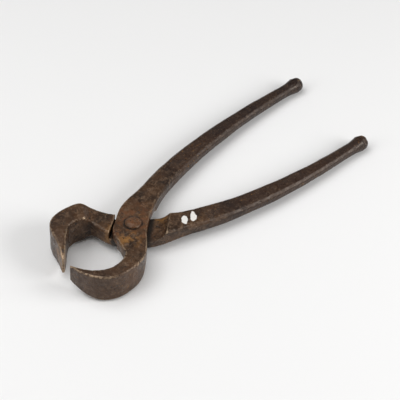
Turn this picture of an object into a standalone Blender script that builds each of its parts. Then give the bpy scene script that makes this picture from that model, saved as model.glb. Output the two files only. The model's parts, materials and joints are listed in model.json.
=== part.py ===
"""Farrier's hoof nipper: two crossed forged levers turning on one rivet.

The pivot axis is the vertical line through PIVOT, and everything is drawn round that line. The
reins (handles) run to +X, the jaws point to -X and lie on z = 0. The origin is under the middle
of the whole tool. Both levers are made alike, the bottom one being rolled half a turn about the
long axis; only their jaws and rein lengths differ, as hand forging leaves them. Each lever is
lofted along its own curved centre line, then halved where it crosses the other, so the two lap
over each other at the rivet.
"""

from math import asin, cos, pi, radians, sin

import bmesh
import bpy
from mathutils import Matrix, Vector

MM = 0.001

# Where the pivot axis stands, counted from the middle of the whole tool.
PIVOT = (-83.9 * MM, 0.0, 0.0)

# Heights above the table, in metres.
JAW_HALF_HEIGHT = 13.5 * MM
MID_PLANE = JAW_HALF_HEIGHT
LAP_HALF_HEIGHT = 7.5 * MM

# The crossing: each lever is a straight bar here, laid at this angle to the long axis. Its edge
# on the jaw side is this far from the pivot. The pocket's wall follows that edge, turned away on
# both sides of its middle: the bar's edge already draws back on the side where the tool opens.
LAP_ANGLE = radians(41.2)
LAP_JAW_SIDE = 15.5 * MM
LEVER_GAP = 0.3 * MM
CLOSING_WALL_TURN = radians(7.0)
OPENING_WALL_TURN = radians(0.5)

# The scooped shoulder that rises from the seat to the rein.
SCOOP_START = 16.5 * MM
SCOOP_LENGTH = 11.0 * MM
SCOOP_RISE = 6.6 * MM
SCOOP_STEPS = 6

# The rivet.
SHANK_RADIUS = 5.5 * MM
HEAD_RADIUS = 6.9 * MM
HEAD_HEIGHT = 2.5 * MM
HEAD_FLAT_RADIUS = 1.6 * MM
HEAD_STEPS = 5
RIVET_SIDES = 32

# The rounded knob that ends each rein.
KNOB_RADIUS = 7.1 * MM
KNOB_BACK_ANGLE = radians(-42.0)
KNOB_STEPS = 8

# The reins were drawn out by hand and came out at different lengths.
TOP_REIN_STRETCH = 1.0
BOTTOM_REIN_STRETCH = 0.942
STRETCH_START = 51.0 * MM

# A corner is a flat chamfer with its two edges eased: these are its turns, in degrees.
CORNER_TURNS = (0.0, 20.0, 70.0, 90.0)
STEPS_PER_SPAN = 4
CUTTER_REACH = 70.0 * MM

# Stations along a lever's centre line, in millimetres from the pivot, from rein to cutting edge:
# x, y, width, height above the mid plane, height below it, corner radius.
# They describe the top lever; the bottom lever uses the same layout before it is rolled over.
REIN_STATIONS = (
    (223.3, 45.2, 11.4, 5.0, 5.0, 3.6),
    (204.0, 45.1, 11.0, 4.6, 4.6, 3.4),
    (178.0, 44.7, 12.2, 4.7, 4.7, 3.4),
    (151.0, 43.2, 14.0, 4.8, 4.8, 3.4),
    (124.0, 40.6, 15.5, 4.9, 4.9, 3.4),
    (95.0, 36.4, 16.9, 5.2, 5.2, 3.4),
    (70.0, 31.2, 18.0, 5.5, 5.5, 3.2),
    (52.0, 26.4, 18.4, 5.8, 5.8, 3.0),
    (38.0, 21.6, 19.1, 6.2, 6.2, 2.6),
    (27.5, 17.5, 21.0, 6.7, 6.7, 2.0),
    (17.5, 13.2, 24.2, 7.2, 7.2, 1.5),
    (8.4, 8.6, 25.8, 7.5, 7.5, 1.2),
    (-0.9, 1.0, 26.6, 7.5, 7.5, 1.2),
)

# The top lever's jaw: round in plan, thinning evenly to the edge.
TOP_JAW_STATIONS = (
    (-6.7, -4.2, 27.8, 7.6, 7.5, 1.2),
    (-10.9, -12.5, 23.4, 7.9, 4.5, 1.2),
    (-14.4, -18.9, 20.6, 8.4, 3.0, 1.2),
    (-18.2, -25.2, 17.2, 9.4, 5.0, 1.3),
    (-23.4, -29.7, 15.4, 10.8, 11.4, 1.4),
    (-30.7, -33.4, 13.2, 12.4, 13.5, 1.5),
    (-39.6, -35.1, 11.6, 13.5, 13.5, 1.5),
    (-48.2, -34.3, 11.0, 13.5, 13.5, 1.5),
    (-56.3, -30.2, 9.4, 13.5, 13.5, 1.5),
    (-61.9, -23.6, 6.9, 12.6, 12.6, 1.3),
    (-65.0, -16.4, 4.4, 11.2, 11.2, 1.1),
    (-66.6, -10.2, 2.7, 9.8, 9.8, 0.8),
    (-67.6, -4.4, 1.0, 8.2, 8.2, 0.4),
)

# The bottom lever's jaw: thicker, with a straight front and a stepped shoulder at the neck.
BOTTOM_JAW_STATIONS = (
    (-7.0, -4.6, 26.0, 7.5, 7.5, 1.4),
    (-12.2, -11.0, 22.6, 7.6, 7.3, 1.8),
    (-15.7, -18.8, 17.8, 8.2, 7.2, 2.0),
    (-18.4, -25.2, 15.4, 9.3, 7.4, 1.8),
    (-21.2, -29.2, 15.8, 10.4, 8.8, 1.5),
    (-25.6, -32.4, 18.0, 11.6, 13.2, 1.5),
    (-30.8, -34.2, 18.0, 12.6, 13.5, 1.5),
    (-39.4, -35.4, 16.6, 13.5, 13.5, 1.5),
    (-48.2, -33.2, 16.2, 13.5, 13.5, 1.5),
    (-53.6, -27.0, 13.0, 13.5, 13.5, 1.5),
    (-57.4, -20.2, 8.8, 12.8, 12.8, 1.5),
    (-61.2, -13.4, 5.4, 11.4, 11.4, 1.3),
    (-64.6, -8.4, 3.6, 10.0, 10.0, 1.0),
    (-67.4, -4.4, 2.0, 8.2, 8.2, 0.7),
)


def clear_scene():
    """Start from an empty file."""
    for old_object in list(bpy.data.objects):
        bpy.data.objects.remove(old_object, do_unlink=True)


def make_material(name, color, metallic, roughness):
    """A plain Principled material for one sub-part."""
    material = bpy.data.materials.new(name)
    material.use_nodes = True
    shader = material.node_tree.nodes["Principled BSDF"]
    shader.inputs["Base Color"].default_value = (*color, 1.0)
    shader.inputs["Metallic"].default_value = metallic
    shader.inputs["Roughness"].default_value = roughness
    return material


def add_object(name, mesh_builder, material):
    """Turn a finished bmesh into an object whose origin stands on the pivot axis."""
    bmesh.ops.recalc_face_normals(mesh_builder, faces=mesh_builder.faces)
    mesh = bpy.data.meshes.new(name)
    mesh_builder.to_mesh(mesh)
    mesh_builder.free()
    solid = bpy.data.objects.new(name, mesh)
    solid.location = PIVOT
    bpy.context.collection.objects.link(solid)
    if material is not None:
        mesh.materials.append(material)
    return solid


def smooth_value(before, start, end, after, step):
    """Catmull-Rom interpolation between start and end."""
    pull = 2.0 * start
    slope = end - before
    bend = 2.0 * before - 5.0 * start + 4.0 * end - after
    twist = 3.0 * (start - end) + after - before
    return 0.5 * (pull + slope * step + bend * step**2 + twist * step**3)


def flattened(row):
    """Keep a station's heights within the jaw height, so the jaw's side faces are flat."""
    x, y, width, above, below, corner = row
    return [x, y, width, min(above, JAW_HALF_HEIGHT), min(below, JAW_HALF_HEIGHT), corner]


def smooth_stations(rein_stretch, jaw_stations):
    """The station list in metres, with smooth stations added between the given ones."""
    rows = []
    for row in REIN_STATIONS + jaw_stations:
        values = [value * MM for value in row]
        if values[0] > STRETCH_START:
            values[0] = STRETCH_START + (values[0] - STRETCH_START) * rein_stretch
        rows.append(values)
    smooth_rows = []
    last = len(rows) - 1
    for index in range(last):
        neighbours = [rows[min(max(index + shift, 0), last)] for shift in (-1, 0, 1, 2)]
        for count in range(STEPS_PER_SPAN):
            step = count / STEPS_PER_SPAN
            row = [smooth_value(*values, step) for values in zip(*neighbours)]
            smooth_rows.append(flattened(row))
    smooth_rows.append(flattened(rows[last]))
    return smooth_rows


def section_outline(width, above, below, corner):
    """A rectangle with chamfered corners, as (across, up) pairs going once round."""
    half = width / 2.0
    corners = (
        (half - corner, above - corner, 0.0),
        (corner - half, above - corner, 0.5 * pi),
        (corner - half, corner - below, pi),
        (half - corner, corner - below, 1.5 * pi),
    )
    outline = []
    for across, up, start_angle in corners:
        for turn in CORNER_TURNS:
            angle = start_angle + radians(turn)
            outline.append((across + corner * cos(angle), up + corner * sin(angle)))
    return outline


def ring_points(center, direction, outline):
    """Stand a section outline across the centre line at one station."""
    across = Vector((-direction.y, direction.x, 0.0))
    up = Vector((0.0, 0.0, 1.0))
    return [center + across * side + up * height for side, height in outline]


def knob_rings(neck_center, direction):
    """Rings of the ball at the rein's end, from its tip back to the neck of the rein."""
    forward_start = KNOB_RADIUS * sin(KNOB_BACK_ANGLE)
    rings = []
    for count in range(1, KNOB_STEPS + 1):
        angle = pi / 2.0 + (KNOB_BACK_ANGLE - pi / 2.0) * count / KNOB_STEPS
        radius = KNOB_RADIUS * cos(angle)
        forward = KNOB_RADIUS * sin(angle) - forward_start
        outline = section_outline(2.0 * radius, radius, radius, radius)
        rings.append(ring_points(neck_center + direction * forward, direction, outline))
    return rings


def lever_rings(rein_stretch, jaw_stations):
    """All the cross-section rings of a lever, from the knob to the cutting edge."""
    rows = smooth_stations(rein_stretch, jaw_stations)
    centers = [Vector((row[0], row[1], MID_PLANE)) for row in rows]
    first_direction = (centers[0] - centers[1]).normalized()
    rings = knob_rings(centers[0] + first_direction * MM, first_direction)
    last = len(rows) - 1
    for index, row in enumerate(rows):
        before = centers[max(index - 1, 0)]
        after = centers[min(index + 1, last)]
        direction = (before - after).normalized()
        outline = section_outline(*row[2:])
        rings.append(ring_points(centers[index], direction, outline))
    return rings


def loft(rings):
    """Join rings of equal length into one closed skin."""
    builder = bmesh.new()
    loops = [[builder.verts.new(point) for point in ring] for ring in rings]
    for front, back in zip(loops, loops[1:]):
        for index in range(len(front)):
            following = (index + 1) % len(front)
            builder.faces.new((front[index], front[following], back[following], back[index]))
    builder.faces.new(loops[0])
    builder.faces.new(list(reversed(loops[-1])))
    return builder


def prism(outline, offset):
    """Sweep a closed outline of points along a straight offset."""
    builder = bmesh.new()
    near = [builder.verts.new(point) for point in outline]
    far = [builder.verts.new(point + offset) for point in outline]
    for index in range(len(near)):
        following = (index + 1) % len(near)
        builder.faces.new((near[index], near[following], far[following], far[index]))
    builder.faces.new(list(reversed(near)))
    builder.faces.new(far)
    return builder


def plan_direction(angle):
    """Unit vector in the plane of the tool."""
    return Vector((cos(angle), sin(angle), 0.0))


def pocket_cutter():
    """Everything the other lever's bar sweeps over, below the mid plane."""
    seat_angle = pi / 2.0 - LAP_ANGLE
    seat_normal = plan_direction(seat_angle)
    seat_along = plan_direction(seat_angle - pi / 2.0)
    closed_angle = seat_angle - pi + CLOSING_WALL_TURN
    open_angle = seat_angle - pi - OPENING_WALL_TURN
    half_turn = (closed_angle - open_angle) / 2.0
    wall_distance = (LAP_JAW_SIDE + LEVER_GAP) / cos(half_turn)
    apex = plan_direction(closed_angle - half_turn) * wall_distance
    outline = [
        apex + plan_direction(closed_angle - pi / 2.0) * CUTTER_REACH,
        apex,
        apex + plan_direction(open_angle + pi / 2.0) * CUTTER_REACH,
        seat_normal * SCOOP_START + seat_along * CUTTER_REACH,
        seat_normal * SCOOP_START - seat_along * CUTTER_REACH,
    ]
    top = Vector((0.0, 0.0, MID_PLANE + LEVER_GAP / 2.0))
    return prism([point + top for point in outline], Vector((0.0, 0.0, -2.0 * MID_PLANE)))


def scoop_cutter():
    """A long concave cut that carries the seat down onto the rein as a rounded shoulder."""
    seat_angle = pi / 2.0 - LAP_ANGLE
    seat_normal = plan_direction(seat_angle)
    seat_along = plan_direction(seat_angle - pi / 2.0)
    seat_height = MID_PLANE + LEVER_GAP / 2.0
    radius = (SCOOP_LENGTH**2 + SCOOP_RISE**2) / (2.0 * SCOOP_RISE)
    full_angle = asin(SCOOP_LENGTH / radius)
    profile = [(0.0, seat_height)]
    for count in range(SCOOP_STEPS + 1):
        angle = full_angle * count / SCOOP_STEPS
        profile.append((SCOOP_START + radius * sin(angle), seat_height - radius * (1.0 - cos(angle))))
    profile.append((SCOOP_START + SCOOP_LENGTH, -MID_PLANE))
    profile.append((0.0, -MID_PLANE))
    start = -seat_along * CUTTER_REACH
    outline = [start + seat_normal * side + Vector((0.0, 0.0, height)) for side, height in profile]
    return prism(outline, seat_along * 2.0 * CUTTER_REACH)


def turned(profile):
    """Turn a list of (radius, height) pairs about the pivot axis into a closed solid."""
    builder = bmesh.new()
    loops = []
    for radius, height in profile:
        angles = [2.0 * pi * count / RIVET_SIDES for count in range(RIVET_SIDES)]
        loops.append([builder.verts.new((radius * cos(a), radius * sin(a), height)) for a in angles])
    for lower, upper in zip(loops, loops[1:]):
        for index in range(RIVET_SIDES):
            following = (index + 1) % RIVET_SIDES
            builder.faces.new((lower[index], lower[following], upper[following], upper[index]))
    builder.faces.new(list(reversed(loops[0])))
    builder.faces.new(loops[-1])
    return builder


def hole_cutter():
    """The rivet hole, clear of the shank all round."""
    radius = SHANK_RADIUS + LEVER_GAP
    return turned([(radius, -MID_PLANE), (radius, 3.0 * MID_PLANE)])


def add_cut(target, name, builder, placing):
    """Subtract a hidden cutter from a lever."""
    builder.transform(placing)
    cutter = add_object(name, builder, None)
    cutter.hide_render = True
    cutter.display_type = "WIRE"
    cut = target.modifiers.new(name, "BOOLEAN")
    cut.operation = "DIFFERENCE"
    cut.solver = "EXACT"
    cut.object = cutter


def build_lever(name, material, rein_stretch, jaw_stations, placing):
    """One lever: rein, halved lap, jaw. The placing rolls the bottom one over."""
    builder = loft(lever_rings(rein_stretch, jaw_stations))
    builder.transform(placing)
    lever = add_object(name, builder, material)
    for face in lever.data.polygons:
        face.use_smooth = True
    lever.data.set_sharp_from_angle(angle=radians(32.0))
    add_cut(lever, name + "_pocket_cutter", pocket_cutter(), placing)
    add_cut(lever, name + "_scoop_cutter", scoop_cutter(), placing)
    add_cut(lever, name + "_hole_cutter", hole_cutter(), placing)
    return lever


def build_rivet(name, material):
    """The pivot rivet: a shank with a low domed head on each side."""
    seat = LAP_HALF_HEIGHT + LEVER_GAP
    dome = []
    for count in range(HEAD_STEPS + 1):
        angle = 0.5 * pi * count / HEAD_STEPS
        radius = HEAD_FLAT_RADIUS + (HEAD_RADIUS - HEAD_FLAT_RADIUS) * cos(angle)
        dome.append((radius, seat + HEAD_HEIGHT * sin(angle)))
    upper = [(SHANK_RADIUS, seat)] + dome
    lower = [(radius, -height) for radius, height in reversed(upper)]
    rivet = add_object(name, turned(lower + upper), material)
    rivet.data.transform(Matrix.Translation((0.0, 0.0, MID_PLANE)))
    for face in rivet.data.polygons:
        face.use_smooth = True
    rivet.data.set_sharp_from_angle(angle=radians(40.0))
    return rivet


def build_nipper():
    """The whole tool, in the slightly open pose it is left in."""
    top_iron = make_material("top_lever_iron", (0.085, 0.062, 0.05), 0.75, 0.62)
    bottom_iron = make_material("bottom_lever_iron", (0.08, 0.06, 0.048), 0.75, 0.64)
    rivet_iron = make_material("rivet_iron", (0.1, 0.066, 0.045), 0.7, 0.58)
    to_middle = Matrix.Translation((0.0, 0.0, MID_PLANE))
    rolled_over = to_middle @ Matrix.Rotation(pi, 4, "X") @ to_middle.inverted()
    build_lever("top_lever", top_iron, TOP_REIN_STRETCH, TOP_JAW_STATIONS, Matrix.Identity(4))
    build_lever("bottom_lever", bottom_iron, BOTTOM_REIN_STRETCH, BOTTOM_JAW_STATIONS, rolled_over)
    build_rivet("pivot_rivet", rivet_iron)


clear_scene()
build_nipper()
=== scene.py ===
"""The looks of the hoof nipper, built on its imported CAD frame.

Each CAD node is replaced by a finer copy of itself, worn and hammered like hand forging, with
procedural rusted-iron materials. Lengths are in metres. Places are counted from the point where
the hinge's axis meets height 0, which main() reads from the frame and the functions call pivot.
"""

import json
from collections import namedtuple
from math import cos, radians, sin

import bmesh
import bpy
import numpy as np
from mathutils import Matrix, Vector, noise


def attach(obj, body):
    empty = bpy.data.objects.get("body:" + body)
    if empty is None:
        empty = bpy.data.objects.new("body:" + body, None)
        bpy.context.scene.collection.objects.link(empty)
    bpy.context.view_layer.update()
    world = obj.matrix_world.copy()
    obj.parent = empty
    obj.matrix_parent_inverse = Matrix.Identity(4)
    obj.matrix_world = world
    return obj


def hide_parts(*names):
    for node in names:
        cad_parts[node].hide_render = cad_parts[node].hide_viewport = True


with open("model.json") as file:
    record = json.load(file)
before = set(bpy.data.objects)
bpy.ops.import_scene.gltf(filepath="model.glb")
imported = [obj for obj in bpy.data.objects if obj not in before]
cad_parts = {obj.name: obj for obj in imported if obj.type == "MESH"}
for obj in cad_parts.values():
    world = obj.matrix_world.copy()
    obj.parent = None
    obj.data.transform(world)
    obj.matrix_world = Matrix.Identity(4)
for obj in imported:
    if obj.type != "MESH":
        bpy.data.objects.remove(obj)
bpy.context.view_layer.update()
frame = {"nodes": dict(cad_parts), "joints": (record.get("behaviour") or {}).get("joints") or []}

MM = 0.001

# Forging and wear of the levers: the size of each kind of unevenness and how deep it goes.
LEVER_VOXEL = 0.55 * MM
RIVET_VOXEL = 0.3 * MM
SWELL_SIZE = 24.0 * MM
SWELL_DEPTH = 0.4 * MM
HAMMER_SIZE = 8.5 * MM
HAMMER_DEPTH = 0.17 * MM
PIT_SIZE = 2.4 * MM
PIT_DEPTH = 0.3 * MM
PIT_START = 0.12
RIVET_HAMMER_SIZE = 3.6 * MM
RIVET_HAMMER_DEPTH = 0.28 * MM
HAMMER_DISH_STEEPNESS = 1.2
PIT_ROUGHNESS = 0.9
PIT_SHRINK = 2.1
PIT_LAYERS = 3
EDGE_SMOOTHING = 0.5
EDGE_SMOOTHING_ROUNDS = 2
WEAR_SMOOTHING_ROUNDS = 3

# The middle of each knob from the pivot, and the cone of metal that flares from rein to knob.
KNOB_MIDDLES = {
    "top_lever": Vector((229.05, 45.22, 13.5)) * MM,
    "bottom_lever": Vector((219.06, -45.22, 13.5)) * MM,
}
FLARE_BEHIND_KNOB = 1.0 * MM
FLARE_LENGTH = 17.0 * MM
FLARE_REIN_RADIUS = 4.8 * MM
FLARE_KNOB_RADIUS = 7.0 * MM
FLARE_SIDES = 48

# Near the joint nothing may stand proud, because the levers pass 0.3 mm apart there.
JOINT_REACH = 30.0 * MM
OPEN_REACH = 42.0 * MM
PROUD_AT_JOINT = 0.05 * MM
PROUD_IN_THE_OPEN = 0.5 * MM

# Two dabs of white paint on the bottom lever, where its rein leaves the joint.
PAINT_DABS = ((35.5 * MM, -22.2 * MM), (43.4 * MM, -24.0 * MM))
PAINT_HALF_WIDTH = 2.7 * MM
PAINT_HALF_LENGTH = 5.4 * MM
PAINT_TURN = radians(-41.0)
PAINT_RAGGED_SIZE = 3.4 * MM
PAINT_RAGGED_DETAIL = 2.0
PAINT_RAGGED_ROUGHNESS = 0.45
PAINT_EDGE = (1.36, 1.48)
PAINT_THICKNESS = 0.5
UPPER_FACE = (0.75, 0.9)

# The top lever's bar crosses the joint at this angle, and its edge is this far from the pivot.
BAR_ANGLE = radians(41.2)
BAR_EDGE = 12.5 * MM
BAR_WALL = 15.5 * MM
BAR_NORMAL = Vector((sin(BAR_ANGLE), -cos(BAR_ANGLE), 0.0))

# Painted shadow of the bar's edge on the seat beside it, partly grime: how far it reaches round the
# joint and out from the edge.
SEAT_SHADOW_MIDDLE = Vector((0.0, 0.0, 14.0)) * MM
SEAT_SHADOW_REACH = (20.0 * MM, 25.0 * MM)
SEAT_SHADOW_OUT = (2.5 * MM, 6.5 * MM)
SEAT_SHADOW_RAGGED_SIZE = 3.0 * MM
SEAT_SHADOW_RAGGED = 2.0 * MM
SEAT_SHADOW_WALL_SOFTNESS = 0.5 * MM

# A dark ring round the rivet's upper head, on top of the lapped levers: painted shade in the
# crease, partly old grime.
LAP_TOP = 21.0 * MM
RIVET_SHADE_FULL = 7.4 * MM
RIVET_SHADE_NONE = 9.0 * MM

# How the tool lies: its jaws and both knobs touch a floor that slopes this much along X and Y.
FLOOR_SLOPE_X = 0.0287
FLOOR_SLOPE_Y = -0.0048
FLOOR_HALF_SIZE = 4.0

# The camera, looking from over the jaws.
CAMERA_PLACE = Vector((-504.1, -582.9, 826.4)) * MM
CAMERA_TARGET = Vector((65.6, -8.1, 12.0)) * MM
CAMERA_ROLL = radians(4.03)
CAMERA_ANGLE = radians(16.41)
CAMERA_NEAREST = 0.05

# Patches that noise makes on the iron: their size, how much detail, roughness and distortion the
# noise has, and the two values of the noise between which a patch fades in.
Patches = namedtuple("Patches", "size detail roughness distortion low high")
BROWN_PATCHES = Patches(30.0 * MM, 5.0, 0.55, 0.0, 0.36, 0.64)
BLUE_PATCHES = Patches(19.0 * MM, 4.0, 0.60, 0.0, 0.56, 0.70)
GREY_PATCHES = Patches(4.5 * MM, 8.0, 0.68, 0.6, 0.47, 0.66)
RUST_PATCHES = Patches(7.0 * MM, 7.0, 0.65, 0.0, 0.42, 0.62)
SPOT_PATCHES = Patches(2.6 * MM, 6.0, 0.70, 0.0, 0.58, 0.68)
SPOT_AREAS = Patches(26.0 * MM, 2.0, 0.55, 0.0, 0.50, 0.66)
FLECK_PATCHES = Patches(1.5 * MM, 7.0, 0.70, 0.0, 0.56, 0.68)
GRIME_AND_SHADE_PATCHES = Patches(5.0 * MM, 4.0, 0.55, 0.0, 0.40, 0.58)
PIT_AREAS = Patches(9.0 * MM, 3.0, 0.55, 0.0, 0.50, 0.60)
GLOSS_PATCHES = Patches(5.5 * MM, 6.0, 0.60, 0.0, 0.35, 0.65)
THIN_PAINT_PATCHES = Patches(0.9 * MM, 3.0, 0.55, 0.0, 0.24, 0.34)

# How much of each layer shows where it is strongest.
BLUE_AMOUNT = 0.55
GREY_AMOUNT = 0.8
REIN_AMOUNT = 0.72
ORANGE_AMOUNT = 0.8
FLECK_AMOUNT = 0.55
WORN_AMOUNT = 0.75
GRIME_AND_SHADE_AMOUNTS = (0.3, 0.95)

# Where the layers lie: distances from the pivot's foot, or from the points named here.
REIN_DARKENING = (45.0 * MM, 95.0 * MM)
RUST_MIDDLE = Vector((0.0, 0.0, 18.0)) * MM
RUST_FULL = 5.0 * MM
TOP_RUST_REACH = 34.0 * MM
BOTTOM_RUST_REACH = 26.0 * MM
RIVET_RUST_REACH = 9.0 * MM
WARM_SPOT_REACH = (3.0 * MM, 14.0 * MM)
TOP_WARM_SPOTS = (Vector((-14.0, -12.0, 20.0)) * MM,)
BOTTOM_WARM_SPOTS = (
    Vector((-64.0, 12.0, 15.0)) * MM,
    Vector((22.0, -3.0, 18.0)) * MM,
    Vector((-17.0, 5.0, 13.0)) * MM,
)
RUBBING_REACH = (24.0 * MM, 38.0 * MM)
RUBBING_AT_JOINT = 0.3

# The wear attribute: where it shows as a rubbed edge, and where it darkens inner corners.
WORN_RANGE = (0.036, 0.072)
HOLLOW_RANGE = (-0.030, -0.010)
FLECK_WEAR = 0.012

# Small round pits in the colour and the bump.
PIT_CELL_SIZE = 1.7 * MM
PIT_CELL_RANGE = (0.16, 0.34)
PIT_BUMP = -0.6

# Gloss and bump of the iron.
ROUGHNESS_RANGE = (0.25, 0.47)
WORN_POLISH = 0.10
WORN_METALLIC = 0.45
SPECULAR_LEVEL = 0.34
GRAIN_SIZE = 1.9 * MM
GRAIN_DETAIL = 8.0
GRAIN_ROUGHNESS = 0.62
BUMP_STRENGTH = 0.65
BUMP_DISTANCE = 0.35 * MM

# The studio: each soft light's name, place from the pivot, size and power.
LIGHTS = (
    ("overhead", Vector((-0.35, 0.35, 1.5)), 1.3, 13.5),
    ("left_window", Vector((-1.0, 0.30, 0.75)), 0.8, 4.5),
    ("right_window", Vector((0.75, -1.02, 0.72)), 0.75, 12.5),
)
WORLD_COLOR = (1.0, 0.985, 0.965, 1.0)
WORLD_STRENGTH = 0.24
FLOOR_COLOR = (0.86, 0.86, 0.86, 1.0)
FLOOR_ROUGHNESS = 0.9
FLOOR_SPECULAR_LEVEL = 0.1

# Colours, linear.
SCALE_DARK = (0.012, 0.007, 0.005, 1.0)
SCALE_BROWN = (0.070, 0.034, 0.016, 1.0)
SCALE_GREY = (0.150, 0.092, 0.056, 1.0)
SCALE_BLUE = (0.030, 0.025, 0.024, 1.0)
RUST_RED = (0.125, 0.049, 0.020, 1.0)
RUST_ORANGE = (0.270, 0.130, 0.036, 1.0)
REIN_DARK = (0.018, 0.010, 0.009, 1.0)
FLECK_TAN = (0.230, 0.160, 0.110, 1.0)
WORN_EDGE = (0.420, 0.305, 0.205, 1.0)
# Black for pits, for darkened inner corners, and for the painted shade and shadow.
PIT_AND_SHADE_BLACK = (0.016, 0.012, 0.010, 1.0)
PAINT_WHITE = (0.780, 0.765, 0.730, 1.0)

# The tint of the iron's reflections.
GLINT_WARM = (1.0, 0.86, 0.75, 1.0)


def linked_piece(name, mesh):
    """A new object for a mesh, at the origin like every CAD node."""
    piece = bpy.data.objects.new(name, mesh)
    bpy.context.scene.collection.objects.link(piece)
    piece.matrix_world = Matrix.Identity(4)
    return piece


def add_knob_flare(mesh, middle):
    """Add a closed cone to a lever's mesh, from its rein up to the knob with this middle."""
    center = middle - Vector((FLARE_BEHIND_KNOB + FLARE_LENGTH / 2.0, 0.0, 0.0))
    along_rein = Matrix.Rotation(radians(90.0), 4, "Y")
    shape = bmesh.new()
    shape.from_mesh(mesh)
    bmesh.ops.create_cone(
        shape,
        cap_ends=True,
        segments=FLARE_SIDES,
        radius1=FLARE_REIN_RADIUS,
        radius2=FLARE_KNOB_RADIUS,
        depth=FLARE_LENGTH,
        matrix=Matrix.Translation(center) @ along_rein,
    )
    shape.to_mesh(mesh)
    shape.free()


def fine_mesh(source, name, voxel, knob_middle):
    """A CAD node's shape, with its knob's flare, as an even, fine mesh with its edges eased."""
    rough = linked_piece(name + "_rough", source.data.copy())
    if knob_middle is not None:
        add_knob_flare(rough.data, knob_middle)
    remesh = rough.modifiers.new("Remesh", "REMESH")
    remesh.mode = "VOXEL"
    remesh.voxel_size = voxel
    smooth = rough.modifiers.new("Smooth", "SMOOTH")
    smooth.factor = EDGE_SMOOTHING
    smooth.iterations = EDGE_SMOOTHING_ROUNDS
    graph = bpy.context.evaluated_depsgraph_get()
    mesh = bpy.data.meshes.new_from_object(rough.evaluated_get(graph), depsgraph=graph)
    mesh.name = name
    bpy.data.objects.remove(rough)
    return mesh


def vertex_array(mesh, attribute):
    """A vertex property of a mesh as rows of three numbers."""
    values = np.zeros(len(mesh.vertices) * 3)
    mesh.vertices.foreach_get(attribute, values)
    return values.reshape(-1, 3)


def hammer_dish(point, size):
    """Shallow overlapping dishes, like the marks of a hammer: 0 in a dish, 1 between them."""
    nearest = noise.voronoi(point / size)[0]
    return min(1.0, nearest[0] * HAMMER_DISH_STEEPNESS) ** 2


def pit_depth(point):
    """How deep the rust pits are at a point."""
    rough = noise.fractal(point / PIT_SIZE, PIT_ROUGHNESS, PIT_SHRINK, PIT_LAYERS)
    return max(0.0, rough - PIT_START) * PIT_DEPTH


def lever_relief(point, pivot):
    """How far a lever's surface stands out from its plain shape at a point."""
    swell = noise.noise(point / SWELL_SIZE) * SWELL_DEPTH
    hammer = (hammer_dish(point, HAMMER_SIZE) - 0.5) * HAMMER_DEPTH
    reach = (point.xy - pivot.xy).length
    openness = min(1.0, max(0.0, (reach - JOINT_REACH) / (OPEN_REACH - JOINT_REACH)))
    proud = PROUD_AT_JOINT + (PROUD_IN_THE_OPEN - PROUD_AT_JOINT) * openness
    return min(proud, swell + hammer - pit_depth(point))


def rivet_relief(point, _pivot):
    """How far the rivet's surface stands out at a point, by one rule all round its pivot."""
    dish = (hammer_dish(point, RIVET_HAMMER_SIZE) - 1.0) * RIVET_HAMMER_DEPTH
    return min(PROUD_AT_JOINT, dish - pit_depth(point))


def press_relief(mesh, relief, pivot):
    """Move every vertex along its normal by the relief there."""
    places = vertex_array(mesh, "co")
    normals = vertex_array(mesh, "normal")
    heights = np.array([relief(Vector(place), pivot) for place in places])
    moved = places + normals * heights[:, None]
    mesh.vertices.foreach_set("co", moved.ravel())
    mesh.update()


def averaged(values, starts, ends, counts):
    """Each vertex's value averaged with those of its neighbours."""
    total = values.copy()
    np.add.at(total, starts, values[ends])
    np.add.at(total, ends, values[starts])
    return total / (counts + 1.0)


def store_wear(mesh, voxel):
    """Keep, as the vertex attribute wear, how sharply the surface turns: above 0 on outer edges."""
    places = vertex_array(mesh, "co")
    normals = vertex_array(mesh, "normal")
    edges = np.zeros(len(mesh.edges) * 2, dtype=np.int64)
    mesh.edges.foreach_get("vertices", edges)
    starts, ends = edges.reshape(-1, 2).T
    counts = np.bincount(edges, minlength=len(places)).astype(float)
    drop = ((places[starts] - places[ends]) * normals[starts]).sum(axis=1)
    rise = ((places[ends] - places[starts]) * normals[ends]).sum(axis=1)
    turning = np.bincount(starts, drop, len(places)) + np.bincount(ends, rise, len(places))
    turning /= np.maximum(counts, 1.0) * voxel
    for _ in range(WEAR_SMOOTHING_ROUNDS):
        turning = averaged(turning, starts, ends, counts)
    stored = mesh.attributes.new("wear", "FLOAT", "POINT")
    stored.data.foreach_set("value", turning)


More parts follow.
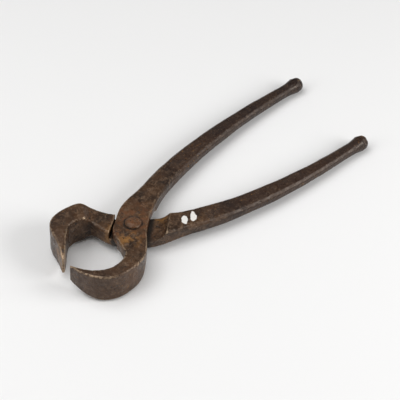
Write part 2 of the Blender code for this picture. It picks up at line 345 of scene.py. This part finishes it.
class NodeSketch:
    """Short ways to add and join the nodes of one material."""

    def __init__(self, name):
        """Start a material that holds only its output and a Principled shader."""
        self.material = bpy.data.materials.new(name)
        self.material.use_nodes = True
        self.nodes = self.material.node_tree.nodes
        self.links = self.material.node_tree.links
        self.shader = self.nodes["Principled BSDF"]
        self.coordinates = self.nodes.new("ShaderNodeTexCoord")
        self.place = self.coordinates.outputs["Object"]

    def set_input(self, socket, value):
        """Link a socket to another node's output, or give it a plain value."""
        if isinstance(value, bpy.types.NodeSocket):
            self.links.new(value, socket)
        else:
            socket.default_value = value

    def noise(self, size, detail=4.0, roughness=0.55, distortion=0.0):
        """Cloudy noise whose patches are about this size."""
        node = self.nodes.new("ShaderNodeTexNoise")
        self.links.new(self.place, node.inputs["Vector"])
        node.inputs["Scale"].default_value = 1.0 / size
        node.inputs["Detail"].default_value = detail
        node.inputs["Roughness"].default_value = roughness
        node.inputs["Distortion"].default_value = distortion
        return node.outputs["Fac"]

    def cells(self, size):
        """The distance to the middle of the nearest cell, cells being about this size."""
        node = self.nodes.new("ShaderNodeTexVoronoi")
        self.links.new(self.place, node.inputs["Vector"])
        node.inputs["Scale"].default_value = 1.0 / size
        return node.outputs["Distance"]

    def stretched(self, value, low, high, to_low=0.0, to_high=1.0):
        """A value mapped smoothly from one range to another."""
        node = self.nodes.new("ShaderNodeMapRange")
        node.interpolation_type = "SMOOTHSTEP"
        self.set_input(node.inputs["Value"], value)
        node.inputs["From Min"].default_value = low
        node.inputs["From Max"].default_value = high
        node.inputs["To Min"].default_value = to_low
        node.inputs["To Max"].default_value = to_high
        return node.outputs["Result"]

    def patches(self, kind, to_low=0.0, to_high=1.0):
        """Patches of one kind, which give the first value outside them and the second inside."""
        cloud = self.noise(kind.size, kind.detail, kind.roughness, kind.distortion)
        return self.stretched(cloud, kind.low, kind.high, to_low, to_high)

    def math(self, operation, first, second):
        """Two values joined by a sum, product or other operation."""
        node = self.nodes.new("ShaderNodeMath")
        node.operation = operation
        self.set_input(node.inputs[0], first)
        self.set_input(node.inputs[1], second)
        return node.outputs["Value"]

    def mixed(self, amount, first, second):
        """Two colours mixed by an amount from 0 to 1."""
        node = self.nodes.new("ShaderNodeMix")
        node.data_type = "RGBA"
        self.set_input(node.inputs["Factor"], amount)
        self.set_input(node.inputs["A"], first)
        self.set_input(node.inputs["B"], second)
        return node.outputs["Result"]

    def attribute(self, name):
        """A number kept on the mesh's vertices."""
        node = self.nodes.new("ShaderNodeAttribute")
        node.attribute_name = name
        return node.outputs["Fac"]

    def distance_from(self, point):
        """How far the surface is from a point."""
        node = self.nodes.new("ShaderNodeVectorMath")
        node.operation = "DISTANCE"
        self.links.new(self.place, node.inputs[0])
        node.inputs[1].default_value = point
        return node.outputs["Value"]


def near(sketch, point, full, none):
    """1 within the distance full of a point, falling to 0 at the distance none."""
    return sketch.stretched(sketch.distance_from(point), full, none, 1.0, 0.0)


def paint_mask(sketch, pivot):
    """1 where the two dabs of paint lie on the upper face, with uneven edges and thin spots."""
    total = 0.0
    ragged = sketch.noise(PAINT_RAGGED_SIZE, PAINT_RAGGED_DETAIL, PAINT_RAGGED_ROUGHNESS)
    thin = sketch.patches(THIN_PAINT_PATCHES)
    for x, y in PAINT_DABS:
        mapping = sketch.nodes.new("ShaderNodeMapping")
        mapping.vector_type = "TEXTURE"
        mapping.inputs["Location"].default_value = (pivot.x + x, pivot.y + y, 0.0)
        mapping.inputs["Rotation"].default_value = (0.0, 0.0, PAINT_TURN)
        mapping.inputs["Scale"].default_value = (PAINT_HALF_WIDTH, PAINT_HALF_LENGTH, 1.0)
        sketch.links.new(sketch.place, mapping.inputs["Vector"])
        length = sketch.nodes.new("ShaderNodeVectorMath")
        length.operation = "LENGTH"
        sketch.links.new(mapping.outputs["Vector"], length.inputs[0])
        edge = sketch.math("ADD", length.outputs["Value"], ragged)
        dab = sketch.stretched(edge, *PAINT_EDGE, 1.0, 0.0)
        total = sketch.math("MAXIMUM", total, dab)
    facing = sketch.nodes.new("ShaderNodeSeparateXYZ")
    sketch.links.new(sketch.coordinates.outputs["Normal"], facing.inputs["Vector"])
    upper = sketch.stretched(facing.outputs["Z"], *UPPER_FACE)
    return sketch.math("MULTIPLY", sketch.math("MULTIPLY", total, upper), thin)


def seat_shadow_and_grime(sketch, pivot):
    """1 on the seat that shows beside the top lever's bar: painted shadow of the bar's edge, partly
    grime and old oil.
    """
    middle = near(sketch, pivot + SEAT_SHADOW_MIDDLE, *SEAT_SHADOW_REACH)
    across = sketch.nodes.new("ShaderNodeVectorMath")
    across.operation = "DOT_PRODUCT"
    sketch.links.new(sketch.place, across.inputs[0])
    across.inputs[1].default_value = BAR_NORMAL
    start = BAR_NORMAL.dot(pivot) + BAR_EDGE
    ragged = sketch.math("MULTIPLY", sketch.noise(SEAT_SHADOW_RAGGED_SIZE), SEAT_SHADOW_RAGGED)
    reach = sketch.math("ADD", across.outputs["Value"], ragged)
    beside = sketch.stretched(reach, start + SEAT_SHADOW_OUT[0], start + SEAT_SHADOW_OUT[1], 1.0, 0.0)
    wall = start - BAR_EDGE - BAR_WALL
    on_seat = sketch.stretched(
        across.outputs["Value"], wall - SEAT_SHADOW_WALL_SOFTNESS, wall + SEAT_SHADOW_WALL_SOFTNESS
    )
    return sketch.math("MULTIPLY", middle, sketch.math("MULTIPLY", beside, on_seat))


def scale_color(sketch, pivot):
    """Brown forge scale with blue and grey patches, darker out along the rein."""
    color = sketch.mixed(sketch.patches(BROWN_PATCHES), SCALE_DARK, SCALE_BROWN)
    blue = sketch.math("MULTIPLY", sketch.patches(BLUE_PATCHES), BLUE_AMOUNT)
    color = sketch.mixed(blue, color, SCALE_BLUE)
    grey = sketch.math("MULTIPLY", sketch.patches(GREY_PATCHES), GREY_AMOUNT)
    color = sketch.mixed(grey, color, SCALE_GREY)
    rein = sketch.stretched(sketch.distance_from(pivot), *REIN_DARKENING, 0.0, REIN_AMOUNT)
    return sketch.mixed(rein, color, REIN_DARK)


def rusted_color(sketch, color, pivot, rust_reach, warm_spots):
    """A colour with red rust added round the joint, and orange rust in spots."""
    patchy = sketch.patches(RUST_PATCHES)
    joint = near(sketch, pivot + RUST_MIDDLE, RUST_FULL, rust_reach)
    color = sketch.mixed(sketch.math("MULTIPLY", joint, patchy), color, RUST_RED)
    spots = sketch.math("MULTIPLY", sketch.patches(SPOT_PATCHES), sketch.patches(SPOT_AREAS))
    for point in warm_spots:
        warm = sketch.math("MULTIPLY", near(sketch, pivot + point, *WARM_SPOT_REACH), patchy)
        spots = sketch.math("MAXIMUM", spots, warm)
    return sketch.mixed(sketch.math("MULTIPLY", spots, ORANGE_AMOUNT), color, RUST_ORANGE)


def worn_mask(sketch, pivot, flecks):
    """1 on outer edges that hands and work have rubbed, less so close to the joint."""
    wear = sketch.math("ADD", sketch.attribute("wear"), sketch.math("MULTIPLY", flecks, FLECK_WEAR))
    rubbed = sketch.stretched(sketch.distance_from(pivot), *RUBBING_REACH, RUBBING_AT_JOINT, 1.0)
    return sketch.math("MULTIPLY", sketch.stretched(wear, *WORN_RANGE), rubbed)


def dark_corner_and_shade_mask(sketch, pivot, seat, rivet_shade_ring):
    """1 where the colour goes dark: inner corners, the painted shadow on the lever's seat and the
    painted shade round the rivet's head, both partly grime.
    """
    dark_corner_and_shade = sketch.stretched(sketch.attribute("wear"), *HOLLOW_RANGE, 1.0, 0.0)
    if seat:
        # Painted shadow on the seat beside the top lever's bar, partly grime.
        dark_corner_and_shade = sketch.math("MAXIMUM", dark_corner_and_shade, seat_shadow_and_grime(sketch, pivot))
    if rivet_shade_ring:
        # Painted shade round the rivet's upper head, partly old grime, broken into patches.
        ring = near(sketch, pivot + Vector((0.0, 0.0, LAP_TOP)), RIVET_SHADE_FULL, RIVET_SHADE_NONE)
        grime_and_shade = sketch.patches(GRIME_AND_SHADE_PATCHES, *GRIME_AND_SHADE_AMOUNTS)
        dark_corner_and_shade = sketch.math("MAXIMUM", dark_corner_and_shade, sketch.math("MULTIPLY", ring, grime_and_shade))
    return dark_corner_and_shade


def pit_mask(sketch):
    """1 in small round pits, which come in groups."""
    pits = sketch.stretched(sketch.cells(PIT_CELL_SIZE), *PIT_CELL_RANGE, 1.0, 0.0)
    return sketch.math("MULTIPLY", pits, sketch.patches(PIT_AREAS))


def iron_material(name, pivot, rust_reach, warm_spots=(), painted=False, rivet_shaded=False):
    """Old forged iron: brown scale, rust round the joint, pits, and edges rubbed brighter.

    The painted lever is the one whose seat shows, so it also gets the painted shadow, partly grime,
    on that seat. The lever with the rivet's upper head on it gets the painted shade round that
    head.
    """
    sketch = NodeSketch(name)
    color = scale_color(sketch, pivot)
    color = rusted_color(sketch, color, pivot, rust_reach, warm_spots)
    flecks = sketch.patches(FLECK_PATCHES)
    color = sketch.mixed(sketch.math("MULTIPLY", flecks, FLECK_AMOUNT), color, FLECK_TAN)
    worn = worn_mask(sketch, pivot, flecks)
    color = sketch.mixed(sketch.math("MULTIPLY", worn, WORN_AMOUNT), color, WORN_EDGE)
    dark_corner_and_shade = dark_corner_and_shade_mask(sketch, pivot, painted, rivet_shaded)
    pits = pit_mask(sketch)
    # Pits, darkened inner corners and the painted shade and shadow all go to the same black.
    color = sketch.mixed(sketch.math("MAXIMUM", dark_corner_and_shade, pits), color, PIT_AND_SHADE_BLACK)
    roughness = sketch.patches(GLOSS_PATCHES, *ROUGHNESS_RANGE)
    polish = sketch.math("MULTIPLY", worn, WORN_POLISH)
    roughness = sketch.math("SUBTRACT", roughness, polish)
    grain = sketch.noise(GRAIN_SIZE, GRAIN_DETAIL, GRAIN_ROUGHNESS)
    height = sketch.math("ADD", grain, sketch.math("MULTIPLY", pits, PIT_BUMP))
    metallic = sketch.math("MULTIPLY", worn, WORN_METALLIC)
    if painted:
        paint = paint_mask(sketch, pivot)
        color = sketch.mixed(paint, color, PAINT_WHITE)
        height = sketch.math("ADD", height, sketch.math("MULTIPLY", paint, PAINT_THICKNESS))
        metallic = sketch.math("MULTIPLY", metallic, sketch.math("SUBTRACT", 1.0, paint))
    bump = sketch.nodes.new("ShaderNodeBump")
    bump.inputs["Strength"].default_value = BUMP_STRENGTH
    bump.inputs["Distance"].default_value = BUMP_DISTANCE
    sketch.links.new(height, bump.inputs["Height"])
    sketch.links.new(color, sketch.shader.inputs["Base Color"])
    sketch.links.new(roughness, sketch.shader.inputs["Roughness"])
    sketch.links.new(metallic, sketch.shader.inputs["Metallic"])
    sketch.links.new(bump.outputs["Normal"], sketch.shader.inputs["Normal"])
    sketch.shader.inputs["Specular IOR Level"].default_value = SPECULAR_LEVEL
    sketch.shader.inputs["Specular Tint"].default_value = GLINT_WARM
    return sketch.material


def forge_piece(node, body, voxel, relief, pivot, material):
    """Replace one CAD node by its worn, hammered copy."""
    name = node + "_forged"
    knob_middle = pivot + KNOB_MIDDLES[node] if node in KNOB_MIDDLES else None
    mesh = fine_mesh(frame["nodes"][node], name, voxel, knob_middle)
    press_relief(mesh, relief, pivot)
    store_wear(mesh, voxel)
    mesh.materials.clear()
    mesh.materials.append(material)
    for face in mesh.polygons:
        face.material_index = 0
        face.use_smooth = True
    piece = linked_piece(name, mesh)
    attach(piece, body)
    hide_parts(node)
    return piece


def forge_lever(node, body, pivot, material):
    """Replace one lever by its forged copy."""
    return forge_piece(node, body, LEVER_VOXEL, lever_relief, pivot, material)


def build_floor(pieces):
    """A wide pale floor, sloped so that the tool rests on its jaws and both knobs."""
    lowest = min(
        float((places[:, 2] - FLOOR_SLOPE_X * places[:, 0] - FLOOR_SLOPE_Y * places[:, 1]).min())
        for places in (vertex_array(piece.data, "co") for piece in pieces)
    )
    corners = []
    for x, y in ((-1, -1), (1, -1), (1, 1), (-1, 1)):
        height = lowest + FLOOR_HALF_SIZE * (FLOOR_SLOPE_X * x + FLOOR_SLOPE_Y * y)
        corners.append((FLOOR_HALF_SIZE * x, FLOOR_HALF_SIZE * y, height))
    mesh = bpy.data.meshes.new("floor")
    mesh.from_pydata(corners, [], [(0, 1, 2, 3)])
    material = bpy.data.materials.new("floor_paper")
    material.use_nodes = True
    shader = material.node_tree.nodes["Principled BSDF"]
    shader.inputs["Base Color"].default_value = FLOOR_COLOR
    shader.inputs["Roughness"].default_value = FLOOR_ROUGHNESS
    shader.inputs["Specular IOR Level"].default_value = FLOOR_SPECULAR_LEVEL
    mesh.materials.append(material)
    floor = bpy.data.objects.new("floor", mesh)
    bpy.context.scene.collection.objects.link(floor)


def add_soft_light(name, place, target, size, power):
    """A square studio light at a place, turned to a target."""
    lamp = bpy.data.lights.new(name, "AREA")
    lamp.shape = "SQUARE"
    lamp.size = size
    lamp.energy = power
    holder = bpy.data.objects.new(name, lamp)
    bpy.context.scene.collection.objects.link(holder)
    holder.location = place
    holder.rotation_euler = (target - place).to_track_quat("-Z", "Y").to_euler()


def light_studio(pivot):
    """A soft lamp overhead, and a window on each side of the camera."""
    world = bpy.data.worlds.new("studio")
    bpy.context.scene.world = world
    world.use_nodes = True
    background = world.node_tree.nodes["Background"]
    background.inputs["Color"].default_value = WORLD_COLOR
    background.inputs["Strength"].default_value = WORLD_STRENGTH
    for name, place, size, power in LIGHTS:
        add_soft_light(name, pivot + place, pivot, size, power)


def place_camera(pivot):
    """The camera, rolled a little as it was held."""
    lens = bpy.data.cameras.new("camera")
    lens.sensor_fit = "HORIZONTAL"
    lens.angle = CAMERA_ANGLE
    lens.clip_start = CAMERA_NEAREST
    camera = bpy.data.objects.new("camera", lens)
    bpy.context.scene.collection.objects.link(camera)
    aim = (CAMERA_TARGET - CAMERA_PLACE).to_track_quat("-Z", "Y").to_matrix()
    turn = aim @ Matrix.Rotation(CAMERA_ROLL, 3, "Z")
    camera.matrix_world = Matrix.Translation(pivot + CAMERA_PLACE) @ turn.to_4x4()
    bpy.context.scene.camera = camera


def main():
    """Build the whole scene."""
    pivot = Vector(frame["joints"][0]["pos_m"])
    pivot.z = 0.0
    top_iron = iron_material(
        "top_lever_aged_iron", pivot, TOP_RUST_REACH, TOP_WARM_SPOTS, rivet_shaded=True
    )
    bottom_iron = iron_material(
        "bottom_lever_aged_iron", pivot, BOTTOM_RUST_REACH, BOTTOM_WARM_SPOTS, painted=True
    )
    rivet_iron = iron_material("rivet_aged_iron", pivot, RIVET_RUST_REACH)
    top = forge_lever("top_lever", "top_body", pivot, top_iron)
    bottom = forge_lever("bottom_lever", "bottom_body", pivot, bottom_iron)
    rivet = forge_piece(
        "pivot_rivet", "bottom_body", RIVET_VOXEL, rivet_relief, pivot, rivet_iron
    )
    build_floor([top, bottom, rivet])
    light_studio(pivot)
    place_camera(pivot)
    bpy.context.scene.view_settings.view_transform = "Standard"


main()
